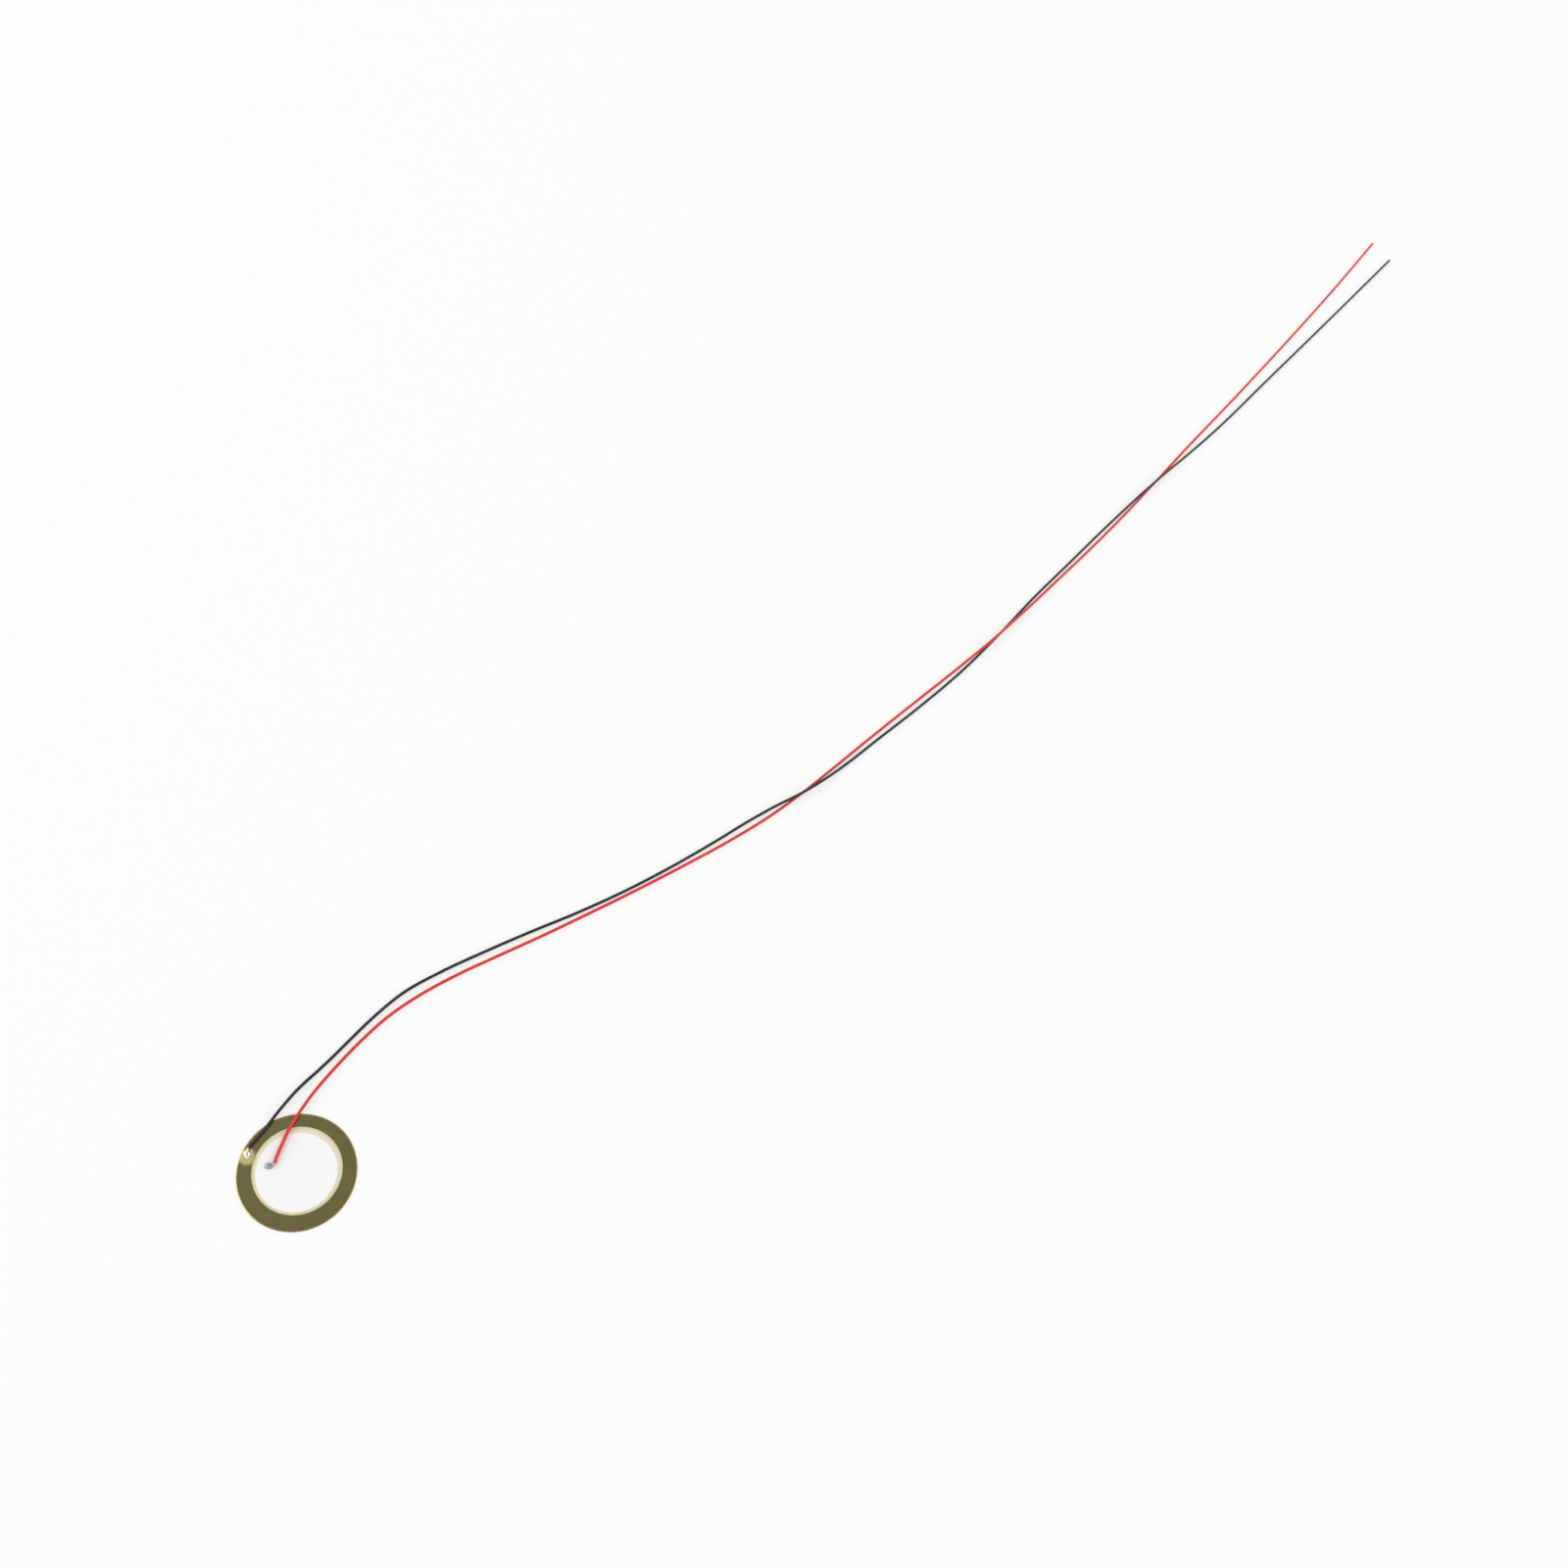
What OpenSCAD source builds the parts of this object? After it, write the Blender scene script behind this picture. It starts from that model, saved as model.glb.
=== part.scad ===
// Piezo disc with two soldered flying leads: a thin ceramic disc with silver
// electrodes, bonded to a larger stamped brass plate. The black lead is
// soldered to the brass, the red lead to the silver on top of the ceramic.
// The plate lies flat, with the origin at the centre of its underside, +Z up
// through the ceramic and +X along the leads.

/* [Brass plate] */
// Diameter of the plate
plate_d = 27; // [23:0.5:34]
// Thickness of the plate
plate_t = 0.25; // [0.2:0.01:0.32]
// Depth of the edge rolled over by the blanking punch
roll_depth = 0.1; // [0.03:0.01:0.14]
// How far in from the rim the rolled edge reaches
roll_run = 0.3; // [0.1:0.05:0.4]
// Chamfer that the deburring leaves on the lower edge
edge_break = 0.02; // [0.01:0.005:0.04]

/* [Ceramic] */
// Diameter of the ceramic disc
ceramic_d = 20; // [16:0.5:22]
// Thickness of the ceramic disc
ceramic_t = 0.2; // [0.15:0.01:0.26]
// Chamfer on the rim of the ceramic
ceramic_break = 0.02; // [0.01:0.005:0.04]
// How far the ceramic was bonded off the middle of the plate
ceramic_shift = 0.35; // [0:0.05:0.5]
// Direction of that shift, in degrees
ceramic_shift_angle = 45; // [0:5:355]

/* [Electrodes and bond] */
// Diameter of the printed silver on top
electrode_d = 18.2; // [15:0.1:19.5]
// Thickness of each fired silver layer
electrode_t = 0.015; // [0.01:0.001:0.03]
// How far the print sits off the middle of the ceramic
electrode_shift = 0.45; // [0:0.05:0.6]
// Direction of that shift, in degrees
electrode_shift_angle = 210; // [0:5:355]
// Thickness of the epoxy under the ceramic
bond_t = 0.02; // [0.01:0.005:0.04]
// Width of the epoxy squeezed out round the ceramic
bond_fillet = 0.12; // [0.05:0.01:0.2]

/* [Ground joint] */
// Length of the solder on the brass
ground_len = 2.8; // [2.2:0.1:3.2]
// Width of the solder on the brass
ground_wid = 2; // [1.6:0.1:2.5]
// Height of the solder on the brass
ground_h = 0.85; // [0.6:0.05:1.1]
// How far the joint sits outside the middle of the bare brass ring
ground_out = 0.35; // [-0.3:0.05:0.4]
// Direction of the joint from the middle of the plate, in degrees
ground_angle = 116; // [100:1:135]

/* [Signal joint] */
// Length of the solder on the silver
signal_len = 2.0; // [1.6:0.1:2.6]
// Width of the solder on the silver
signal_wid = 1.6; // [1.3:0.1:2.2]
// Height of the solder on the silver
signal_h = 0.7; // [0.55:0.05:0.9]
// Distance of the joint from the middle of the plate
signal_r = 6.5; // [5:0.1:7.5]
// Direction of the joint from the middle of the plate, in degrees
signal_angle = 124; // [105:1:140]

/* [Leads] */
// Diameter over the insulation
lead_od = 0.78; // [0.6:0.01:0.95]
// Diameter of one tinned strand
strand_d = 0.12; // [0.08:0.01:0.13]
// Gap left between neighbouring strands
strand_gap = 0.007; // [0.003:0.001:0.02]
// Strands laid round the middle one
strand_ring = 6; // [5:1:6]
// Height of the gap where one lead passes over the other
cross_gap = 0.05; // [0.03:0.01:0.1]

/* [Hidden] */

// Levels of the stack, from the resting surface up
bond_z = plate_t;
rear_z = bond_z + bond_t;
ceramic_z = rear_z + electrode_t;
front_z = ceramic_z + ceramic_t;
top_z = front_z + electrode_t;

// Facets of the turned pieces, the cords, the strands and the solder
round_fn = 180;
cord_sides = 8;
strand_sides = 6;
strand_rings = 20;
solder_sides = 28;
arc_steps = 5;

// Turn of the strands from one ring to the next, in degrees
lay_step = 4;
// Share of its span over which the conductor keeps each end's direction
bend_reach = 0.33;
// Share of the conductor that the solder leaves bare
wick_from = 0.22;
// Depth of the solder drawn up round the strands, at its lip and where it settles
wick_lip = 0.02;
wick_t = 0.08;
// Rings over which the collar settles onto the metal, and from there to the tail
settle_rings = 7;
tail_rings = 6;
// How much sooner the collar's foot settles than its crown does
foot_lead = 0.8;
// Share of the joint's length from its middle to the blind end of the strands
blind_share = 0.25;
// Outline of a joint's section, as shares of its half width and height: how far
// it stays hollow above the foot, and how far out its shoulder is
foot_run = 0.8;
foot_rise = 0.02;
shoulder_run = 0.84;
// How fast the height falls along the joint, against the width
crown_fall = 1.2;
// Smallest width left at the toe, as a share of the whole, squared
toe_share = 0.03;
// Waviness of the foot's outline: its depth, and its turn along the joint in degrees
wave_share = 0.06;
wave_turn = 100;
// Channel round all the strands, clear of them by half the gap between two
channel_r = 1.5 * (strand_d + strand_gap) / cos(180 / solder_sides);

// Middles of the ceramic and of the print on it
ceramic_at = ceramic_shift * [cos(ceramic_shift_angle), sin(ceramic_shift_angle)];
electrode_at = ceramic_at + electrode_shift * [cos(electrode_shift_angle), sin(electrode_shift_angle)];

// Middles of the two joints
ground_r = (plate_d + ceramic_d) / 4 + ground_out;
ground_at = ground_r * [cos(ground_angle), sin(ground_angle)];
signal_at = signal_r * [cos(signal_angle), sin(signal_angle)];

// Height of the upper lead's underside where it passes over the other
over = lead_od + cross_gap;

// Lead routes: x, y and the height of the underside over the resting surface.
// Each starts at the end face of its insulation, beside its joint.
black_route = [
    [-4.4, 11.7, 0.36], [-2.2, 12.05, 0.34], [0, 12.4, 0.35], [2.5, 13, 0.38],
    [5, 13.65, 0.4], [7.5, 14.2, 0.34], [10.5, 14.8, 0.22], [14, 15.2, 0.1],
    [18, 15.4, 0.02], [22, 15.7, 0], [28, 16.3, 0], [36, 17, 0],
    [45, 17, 0], [55, 15.1, 0], [66, 12.1, 0], [78, 8.5, 0],
    [91, 4.3, 0], [105, 0.4, 0], [119, -2.7, 0], [133, -5.2, 0],
    [145, -7.1, over - 0.73], [153, -8.9, over], [160, -10.6, over], [167, -11.8, over],
    [177, -12.7, over - 0.73], [190, -13.3, 0], [208, -14.2, 0], [226, -14.5, 0],
    [245, -13.6, 0], [264, -12.1, 0], [284, -11.2, 0], [303, -10.3, 0],
    [317, -9.9, over - 0.53], [325, -9.8, over],
    [337, -9.8, over], [347, -9.9, over - 0.53],
    [365, -9.9, 0], [402, -8.4, 0], [444, -6.6, 0], [491, -4.4, 0]
];
red_route = [
    [-2.4, 4.9, 0.62], [-0.8, 5.95, 0.6], [1.5, 7.2, 0.62], [4, 8.5, 0.66],
    [6.7, 9.6, 0.68], [9.6, 10.6, 0.62], [12.6, 11.5, 0.46], [15.8, 12.3, 0.24],
    [19.5, 13, 0.06], [24, 13.7, 0], [30, 14.4, 0], [38, 14.8, 0],
    [47, 14, 0], [57, 12, 0], [68, 9, 0], [80, 5.6, 0],
    [93, 2.2, 0], [107, -1.3, 0], [121, -4.5, 0], [135, -7.4, 0],
    [148, -9.5, 0], [160, -10.6, 0], [173, -11.1, 0], [190, -11.6, 0],
    [208, -12.3, 0], [224, -13, 0.08], [234, -13.4, over - 0.23], [241, -13.6, over],
    [249, -13.6, over], [260, -13.4, over - 0.33], [271, -13, 0], [290, -12.4, 0],
    [310, -11.4, 0], [331, -9.8, 0], [352, -8, 0], [376, -6.3, 0],
    [402, -4.3, 0], [430, -1.9, 0], [460, 1, 0], [492, 4.6, 0]
];

function unit(v) = v / norm(v);
function mix(a, b, u) = a * (1 - u) + b * u;
function smooth(u) = let (c = min(max(u, 0), 1)) c * c * (3 - 2 * c);

// A route with its heights turned from the underside to the middle of the lead
function centre_line(route) = [for (p = route) p + [0, 0, lead_od / 2]];

// Direction of a line of points at point i
function heading(line, i) =
    unit(line[min(i + 1, len(line) - 1)] - line[max(i - 1, 0)]);

// Side and up directions square to a heading
function across(dir) = unit(cross([0, 0, 1], dir));
function upward(dir) = cross(dir, across(dir));

function headings(line) = [for (i = [0:len(line) - 1]) heading(line, i)];

// Point at an angle round a middle, in the plane square to a heading
function round_point(middle, dir, r, angle) =
    middle + r * (cos(angle) * across(dir) + sin(angle) * upward(dir));

// One ring of a tube
function ring(middle, dir, r, sides) =
    [for (k = [0:sides - 1]) round_point(middle, dir, r, 360 * k / sides)];

// Faces that close a stack of rings into a solid
function side_faces(rings, sides) =
    [for (i = [0:rings - 2], k = [0:sides - 1])
        let (a = i * sides + k, b = i * sides + (k + 1) % sides)
        [a, a + sides, b + sides, b]];
function cap_faces(rings, sides) = [
    [for (k = [0:sides - 1]) k],
    [for (k = [sides - 1:-1:0]) (rings - 1) * sides + k]
];

// Tube along a line of points, with a ring at each point: its heading, which
// the ring is square to, and its radius
module tube(line, dirs, radii, sides) {
    points = [for (i = [0:len(line) - 1]) each ring(line[i], dirs[i], radii[i], sides)];
    faces = concat(side_faces(len(line), sides), cap_faces(len(line), sides));
    polyhedron(points, faces, convexity = 10);
}

function even(line, r) = [for (p = line) r];

// Point at u of the curve that leaves a along da and arrives at b along db
function bend(a, da, b, db, u) =
    let (reach = norm(b - a) * bend_reach, out = a + da * reach, back = b - db * reach)
    mix(mix(mix(a, out, u), mix(out, back, u), u), mix(mix(out, back, u), mix(back, b, u), u), u);

// Middle line of a lead's bare conductor: out of the insulation's end face,
// down to the metal and on to its blind end in the joint
function conductor_line(route, joint_at, surface_z, joint_len) =
    let (start = centre_line(route)[0],
         lie = unit(joint_at - [start.x, start.y]),
         end = joint_at + blind_share * joint_len * lie,
         bed = surface_z + channel_r + wick_t)
    [for (i = [0:strand_rings - 1])
        bend(start, -heading(centre_line(route), 0), [end.x, end.y, bed], [lie.x, lie.y, 0],
            i / (strand_rings - 1))];

// Its headings: the first is square to the end face of the insulation
function conductor_dirs(route, line) =
    [for (i = [0:len(line) - 1]) i == 0 ? -heading(centre_line(route), 0) : heading(line, i)];

// Bare end of a lead: strands twisted round a middle one
module conductor(line, dirs) {
    radii = even(line, strand_d / 2);
    tube(line, dirs, radii, strand_sides);
    for (s = [0:strand_ring - 1]) {
        strand = [for (i = [0:len(line) - 1])
            round_point(line[i], dirs[i], strand_d + strand_gap, 360 * s / strand_ring + lay_step * i)];
        tube(strand, dirs, radii, strand_sides);
    }
}

// Section of settled solder at u, from 0 at the foot to 1 at the crown, as
// shares of its half width and height: hollow where it wets out, then round
function skin(u) = let (w = 1 - u) [
    pow(w, 3) + 3 * pow(w, 2) * u * foot_run + 3 * w * u * u * shoulder_run,
    3 * pow(w, 2) * u * foot_rise + 3 * w * u * u + pow(u, 3)
];

// Settled section at station s, where the joint's end is at reach and what it
// covers is at least low high: points across the joint and up. Angles up to
// 180 run over the crown, and the rest lie flat on the metal.
function settled(s, reach, size, low) =
    let (full = sqrt(max(toe_share, 1 - pow(s / reach, 2))),
         half = (1 + wave_share * sin(wave_turn * s / reach)) * full * size.y / 2,
         high = max(low, pow(full, crown_fall) * size.z))
    [for (k = [0:solder_sides - 1])
        let (angle = 360 * k / solder_sides, rise = skin(1 - abs(angle / 90 - 1)))
        angle <= 180
            ? [-half * sign(90 - angle) * rise[0], high * rise[1]]
            : [-half * cos(angle), 0]];

// A joint in one piece: its skin, from the collar that the solder draws up
// round the strands to the tail, and inside it the blind channel they fill
module joint(line, dirs, joint_at, surface_z, size) {
    along = unit([line[0].x - joint_at.x, line[0].y - joint_at.y, 0]);
    aside = [-along.y, along.x, 0];
    origin = [joint_at.x, joint_at.y, surface_z];
    first = ceil(wick_from * strand_rings);
    last = strand_rings - 1;
    seat = [for (p = line) let (d = p - origin) [d * along, d * aside, d.z]];
    tail = size.x / 2;
    tail_from = asin(seat[last].x / tail);
    function bed(s, side, section) =
        [for (q = section) origin + s * along + (side + q.x) * aside + [0, 0, q.y]];
    collar = [for (i = [first:last])
        let (settle = smooth((i - first) / settle_rings),
             skin_r = channel_r + mix(wick_lip, wick_t, settle),
             reach = seat[i].x > 0 ? seat[first].x : tail,
             neck = ring(line[i], dirs[i], skin_r, solder_sides),
             low = bed(seat[i].x, seat[i].y, settled(seat[i].x, reach, size, seat[i].z + skin_r)))
        [for (k = [0:solder_sides - 1])
            let (foot = min(1, 1 - sin(360 * k / solder_sides)))
            mix(neck[k], low[k], pow(settle, 1 - foot_lead * foot))]];
    tail_skin = [for (j = [1:tail_rings - 1])
        let (s = tail * sin(mix(tail_from, -90, j / tail_rings)))
        bed(s, 0, settled(s, tail, size, 0))];
    channel = [for (i = [first:last]) ring(line[i], dirs[i], channel_r, solder_sides)];
    skin_n = len(collar) + len(tail_skin);
    base = skin_n * solder_sides;
    points = concat([for (r = concat(collar, tail_skin, channel)) each r],
        [origin - tail * along]);
    inner = concat(side_faces(len(channel), solder_sides),
        [cap_faces(len(channel), solder_sides)[1]]);
    polyhedron(points, concat(
        side_faces(skin_n, solder_sides),
        [for (k = [0:solder_sides - 1])
            [base - solder_sides + k, len(points) - 1, base - solder_sides + (k + 1) % solder_sides]],
        [for (f = inner) [for (i = [len(f) - 1:-1:0]) f[i] + base]],
        [for (k = [0:solder_sides - 1])
            let (next = (k + 1) % solder_sides) [k, next, base + next, base + k]]
    ), convexity = 10);
}

module lead(route) {
    line = centre_line(route);
    tube(line, headings(line), even(line, lead_od / 2), cord_sides);
}

black_line = conductor_line(black_route, ground_at, plate_t, ground_len);
red_line = conductor_line(red_route, signal_at, top_z, signal_len);
black_dirs = conductor_dirs(black_route, black_line);
red_dirs = conductor_dirs(red_route, red_line);

// Blanked from sheet: the punch rolls the upper edge over, the lower is deburred
module brass_plate() {
    r = plate_d / 2;
    color([0.56, 0.52, 0.3])
        rotate_extrude($fn = round_fn)
            polygon(concat(
                [[0, 0], [r - edge_break, 0], [r, edge_break]],
                [for (i = [0:arc_steps])
                    let (a = 90 * i / arc_steps)
                    [r - roll_run * (1 - cos(a)), plate_t - roll_depth * (1 - sin(a))]],
                [[0, plate_t]]));
}

// Epoxy film, squeezed out into a small hollow fillet against the ceramic
module bond_layer() {
    r = ceramic_d / 2;
    wall = bond_t + electrode_t + ceramic_t / 2;
    color([0.72, 0.7, 0.5])
        translate([ceramic_at.x, ceramic_at.y, bond_z])
            rotate_extrude($fn = round_fn)
                polygon(concat(
                    [[0, 0], [r + bond_fillet, 0]],
                    [for (i = [0:arc_steps])
                        let (a = 90 * i / arc_steps)
                        [r + bond_fillet * (1 - sin(a)), wall * (1 - cos(a))]],
                    [[r, bond_t], [0, bond_t]]));
}

module rear_electrode() {
    color([0.86, 0.86, 0.84])
        translate([ceramic_at.x, ceramic_at.y, rear_z])
            cylinder(d = ceramic_d, h = electrode_t, $fn = round_fn);
}

// Pressed and sintered disc with both rims broken
module ceramic_disc() {
    r = ceramic_d / 2;
    color([0.9, 0.88, 0.7])
        translate([ceramic_at.x, ceramic_at.y, ceramic_z])
            rotate_extrude($fn = round_fn)
                polygon([
                    [0, 0], [r - ceramic_break, 0], [r, ceramic_break],
                    [r, ceramic_t - ceramic_break], [r - ceramic_break, ceramic_t], [0, ceramic_t]
                ]);
}

// Screen-printed silver
module front_electrode() {
    color([0.93, 0.93, 0.91])
        translate([electrode_at.x, electrode_at.y, front_z])
            cylinder(d = electrode_d, h = electrode_t, $fn = round_fn);
}

module ground_solder() {
    color([0.8, 0.8, 0.76])
        joint(black_line, black_dirs, ground_at, plate_t, [ground_len, ground_wid, ground_h]);
}

module signal_solder() {
    color([0.78, 0.79, 0.78])
        joint(red_line, red_dirs, signal_at, top_z, [signal_len, signal_wid, signal_h]);
}

module black_conductor() {
    color([0.82, 0.8, 0.76]) conductor(black_line, black_dirs);
}

module red_conductor() {
    color([0.82, 0.8, 0.76]) conductor(red_line, red_dirs);
}

module black_lead() {
    color([0.08, 0.08, 0.09]) lead(black_route);
}

module red_lead() {
    color([0.82, 0.1, 0.09]) lead(red_route);
}

brass_plate();
bond_layer();
rear_electrode();
ceramic_disc();
front_electrode();
ground_solder();
signal_solder();
black_conductor();
red_conductor();
black_lead();
red_lead();
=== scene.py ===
import math

import bpy
import numpy as np
from mathutils import Matrix, Vector, noise


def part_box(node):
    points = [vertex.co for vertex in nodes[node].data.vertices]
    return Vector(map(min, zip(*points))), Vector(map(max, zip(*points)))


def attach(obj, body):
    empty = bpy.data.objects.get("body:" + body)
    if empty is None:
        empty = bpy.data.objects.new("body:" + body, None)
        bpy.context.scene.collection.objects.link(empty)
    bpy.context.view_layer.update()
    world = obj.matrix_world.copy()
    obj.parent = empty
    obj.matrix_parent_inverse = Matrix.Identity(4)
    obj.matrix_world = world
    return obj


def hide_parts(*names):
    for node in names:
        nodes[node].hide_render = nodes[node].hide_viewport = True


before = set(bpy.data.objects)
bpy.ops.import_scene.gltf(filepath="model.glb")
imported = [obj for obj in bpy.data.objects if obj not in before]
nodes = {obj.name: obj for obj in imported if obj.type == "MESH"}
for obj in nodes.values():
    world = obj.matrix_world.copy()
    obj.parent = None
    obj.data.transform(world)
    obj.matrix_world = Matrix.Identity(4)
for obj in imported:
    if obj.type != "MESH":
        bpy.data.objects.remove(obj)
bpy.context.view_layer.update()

# ---------------------------------------------------------------- sizes, as in the CAD
MM = 0.001
LEAD_R = 0.39 * MM
STRANDS = 7
STRAND_R = 0.06 * MM
STRAND_PITCH = 0.127 * MM  # between the middles of neighbouring strands
CHANNEL_R = 0.1917 * MM  # round the bundle of strands
COLLAR_T = 0.02 * MM  # solder round that channel where the joint begins
WICK_T = 0.08 * MM  # least solder round that channel where the joint has settled
OVER = 0.83  # mm under the upper lead where it crosses the lower one
PLATE_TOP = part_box("brass_plate")[1].z
PRINT_LOW, PRINT_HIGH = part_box("front_electrode")
SILVER_TOP = PRINT_HIGH.z


def middle(node):
    """x and y of the middle of a node's box, in mm."""
    low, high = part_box(node)
    return (low.x + high.x) / 2 / MM, (low.y + high.y) / 2 / MM


PRINT_AT = middle("front_electrode")
CERAMIC_AT = middle("ceramic_disc")

# Lead routes: x, y and the height of the underside over the resting surface, in mm
BLACK_ROUTE = [
    (-4.4, 11.7, 0.36), (-2.2, 12.05, 0.34), (0, 12.4, 0.35), (2.5, 13, 0.38),
    (5, 13.65, 0.4), (7.5, 14.2, 0.34), (10.5, 14.8, 0.22), (14, 15.2, 0.1),
    (18, 15.4, 0.02), (22, 15.7, 0), (28, 16.3, 0), (36, 17, 0),
    (45, 17, 0), (55, 15.1, 0), (66, 12.1, 0), (78, 8.5, 0),
    (91, 4.3, 0), (105, 0.4, 0), (119, -2.7, 0), (133, -5.2, 0),
    (145, -7.1, 0.1), (153, -8.9, OVER), (160, -10.6, OVER), (167, -11.8, OVER),
    (177, -12.7, 0.1), (190, -13.3, 0), (208, -14.2, 0), (226, -14.5, 0),
    (245, -13.6, 0), (264, -12.1, 0), (284, -11.2, 0), (303, -10.3, 0),
    (317, -9.9, 0.3), (325, -9.8, OVER), (337, -9.8, OVER), (347, -9.9, 0.3),
    (365, -9.9, 0), (402, -8.4, 0), (444, -6.6, 0), (491, -4.4, 0),
]
RED_ROUTE = [
    (-2.4, 4.9, 0.62), (-0.8, 5.95, 0.6), (1.5, 7.2, 0.62), (4, 8.5, 0.66),
    (6.7, 9.6, 0.68), (9.6, 10.6, 0.62), (12.6, 11.5, 0.46), (15.8, 12.3, 0.24),
    (19.5, 13, 0.06), (24, 13.7, 0), (30, 14.4, 0), (38, 14.8, 0),
    (47, 14, 0), (57, 12, 0), (68, 9, 0), (80, 5.6, 0),
    (93, 2.2, 0), (107, -1.3, 0), (121, -4.5, 0), (135, -7.4, 0),
    (148, -9.5, 0), (160, -10.6, 0), (173, -11.1, 0), (190, -11.6, 0),
    (208, -12.3, 0), (224, -13, 0.08), (234, -13.4, 0.6), (241, -13.6, OVER),
    (249, -13.6, OVER), (260, -13.4, 0.5), (271, -13, 0), (290, -12.4, 0),
    (310, -11.4, 0), (331, -9.8, 0), (352, -8, 0), (376, -6.3, 0),
    (402, -4.3, 0), (430, -1.9, 0), (460, 1, 0), (492, 4.6, 0),
]


def joint_at(r, angle, top, size):
    """A joint r mm from the plate's middle, at an angle in degrees; size is in mm."""
    a = math.radians(angle)
    return {
        "at": np.array([r * math.cos(a) * MM, r * math.sin(a) * MM, top]),
        "size": np.array(size) * MM,
    }


GROUND = joint_at(12.1, 116, PLATE_TOP, (2.8, 2.0, 0.85))
SIGNAL = joint_at(6.5, 124, SILVER_TOP, (2.0, 1.6, 0.7))


# ---------------------------------------------------------------- camera
def make_camera():
    """The photograph's camera, worked out from the outlines of its discs."""
    data = bpy.data.cameras.new("camera")
    data.lens = 34.03
    data.sensor_width = 36
    data.clip_start = 0.01
    data.clip_end = 20
    cam = bpy.data.objects.new("camera", data)
    bpy.context.scene.collection.objects.link(cam)
    cam.matrix_world = Matrix((
        (0.68413, 0.58773, -0.43193, -0.018286),
        (-0.69825, 0.69890, -0.15497, -0.069039),
        (0.21079, 0.40761, 0.88850, 0.365239),
        (0, 0, 0, 1),
    ))
    bpy.context.scene.camera = cam


make_camera()


# ---------------------------------------------------------------- meshes
def new_object(name, verts, faces, smooth=True):
    mesh = bpy.data.meshes.new(name)
    mesh.from_pydata([tuple(map(float, v)) for v in verts], [], faces)
    mesh.validate()
    mesh.update()
    if smooth:
        mesh.polygons.foreach_set("use_smooth", [True] * len(mesh.polygons))
    ob = bpy.data.objects.new(name, mesh)
    bpy.context.scene.collection.objects.link(ob)
    return ob


def piece(name, verts, faces, stands_for=None):
    ob = new_object(name, verts, faces)
    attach(ob, "root")
    if stands_for:
        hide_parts(stands_for)
    return ob


def unit(v):
    return v / np.linalg.norm(v)


def frame_at(d):
    """Unit vectors across and up, both square to the direction d."""
    across = unit(np.cross([0, 0, 1], d))
    return across, np.cross(d, across)


def beside(p, d, r, turn):
    """The point r away from p, square to d, at the angle turn."""
    across, up = frame_at(d)
    return p + r * (math.cos(turn) * across + math.sin(turn) * up)


def ring(p, d, r, sides):
    """Points of a circle of radius r round p, square to d."""
    across, up = frame_at(d)
    a = 2 * math.pi * np.arange(sides) / sides
    return p + (r * np.cos(a))[:, None] * across + (r * np.sin(a))[:, None] * up


def loft(rings, start=0):
    """A closed skin over rings of the same number of points; start is its first point's number."""
    n, k = len(rings), len(rings[0])
    faces = []
    for i in range(n - 1):
        for s in range(k):
            a, b = start + i * k + s, start + i * k + (s + 1) % k
            faces.append((a, b, b + k, a + k))
    faces.append(tuple(start + s for s in reversed(range(k))))
    faces.append(tuple(start + (n - 1) * k + s for s in range(k)))
    return np.concatenate(rings), faces


def keep_corner(ob, k):
    """The first ring of k points keeps a sharp corner to the face that closes it."""
    for e in ob.data.edges:
        if max(e.vertices) < k:
            e.use_edge_sharp = True


# ---------------------------------------------------------------- insulated leads
LEAD_STEP = 0.9 * MM
LEAD_SIDES = 24
BORE_R = 0.205 * MM
BORE_DEPTH = 0.35 * MM
CUT_EDGE = 0.035 * MM  # rounding of a cut end


def smooth_path(route, step):
    """The route as one smooth line of the lead's middle; its heights never overshoot."""
    p = np.array(route, float) * MM
    p[:, 2] += LEAD_R
    d = np.linalg.norm(np.diff(p[:, :2], axis=0), axis=1)
    slope = np.diff(p, axis=0) / d[:, None]
    m = np.empty_like(p)
    m[0], m[-1] = slope[0], slope[-1]
    weighed = slope[:-1] * d[1:, None] + slope[1:] * d[:-1, None]
    m[1:-1] = weighed / (d[:-1] + d[1:])[:, None]
    for i in range(1, len(p) - 1):
        before, after = slope[i - 1, 2], slope[i, 2]
        if before * after <= 0:
            m[i, 2] = 0
        else:
            steepest = min(abs(m[i, 2]), 3 * abs(before), 3 * abs(after))
            m[i, 2] = math.copysign(steepest, m[i, 2])
    out = []
    for i, h in enumerate(d):
        for t in np.arange(0, 1, 1 / max(4, math.ceil(h / step))):
            a, b = (1 + 2 * t) * (1 - t) ** 2, t * (1 - t) ** 2
            c, e = t * t * (3 - 2 * t), t * t * (t - 1)
            out.append(a * p[i] + b * h * m[i] + c * p[i + 1] + e * h * m[i + 1])
    out.append(p[-1])
    return np.array(out)


def headings(line):
    """The unit direction of a line at each of its points."""
    d = np.empty_like(line)
    d[1:-1] = line[2:] - line[:-2]
    d[0], d[-1] = line[1] - line[0], line[-1] - line[-2]
    return d / np.linalg.norm(d, axis=1)[:, None]


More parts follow.
